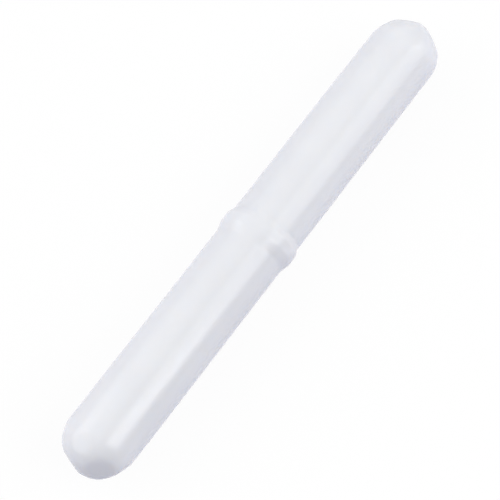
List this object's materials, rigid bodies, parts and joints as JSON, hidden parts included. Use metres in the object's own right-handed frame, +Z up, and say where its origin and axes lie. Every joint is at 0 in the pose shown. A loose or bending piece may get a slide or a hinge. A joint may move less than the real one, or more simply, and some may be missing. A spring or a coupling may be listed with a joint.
{
  "type": "magnetic stir bar",
  "caption": "Round white stir bar with domed ends and a low pivot ring at its middle, a rod magnet sealed inside, turned in a vessel by a rotating magnetic field.",
  "frame": {"origin": "centre of the bar, at the middle of the pivot ring", "axes": "+X along the bar's axis, towards one tip; +Z up, with the bar lying level on its ring"},
  "size_m": [0.06, 0.0084, 0.0084],
  "materials": {
    "jacket": "smooth waxy white fluoropolymer with a soft sheen",
    "magnet": "dull ground metal"
  },
  "bodies": {
    "root": {"jacket": "jacket", "magnet": "magnet"}
  },
  "joints": []
}
